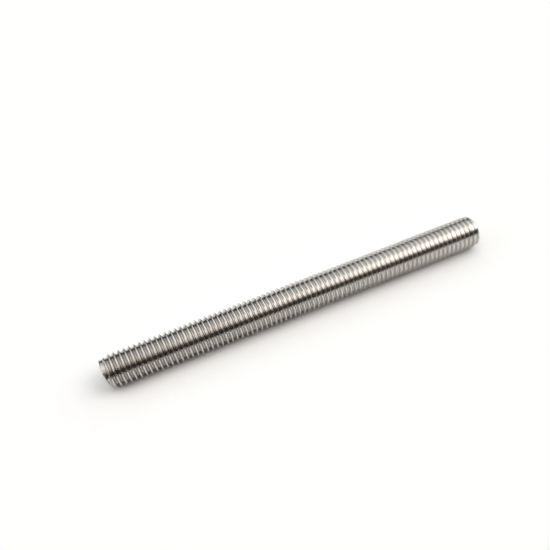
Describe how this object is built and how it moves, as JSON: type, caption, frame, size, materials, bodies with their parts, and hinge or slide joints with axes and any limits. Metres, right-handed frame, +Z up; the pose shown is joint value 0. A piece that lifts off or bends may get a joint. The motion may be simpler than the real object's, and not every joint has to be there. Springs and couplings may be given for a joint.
{
  "type": "threaded rod",
  "caption": "Short length of stainless steel rod with a right-hand metric thread from end to end, both ends cut off behind a slight lead taper.",
  "frame": {"origin": "middle of the rod's length, on the surface it lies on, straight under its axis", "axes": "+X along the rod's axis, +Z up, away from the surface it lies on, +Y the remaining direction across it"},
  "size_m": [0.118, 0.01, 0.0098],
  "materials": {
    "stainless_steel": "bright rolled thread, cut ends"
  },
  "bodies": {
    "root": {"threaded_rod": "stainless_steel"}
  },
  "joints": []
}
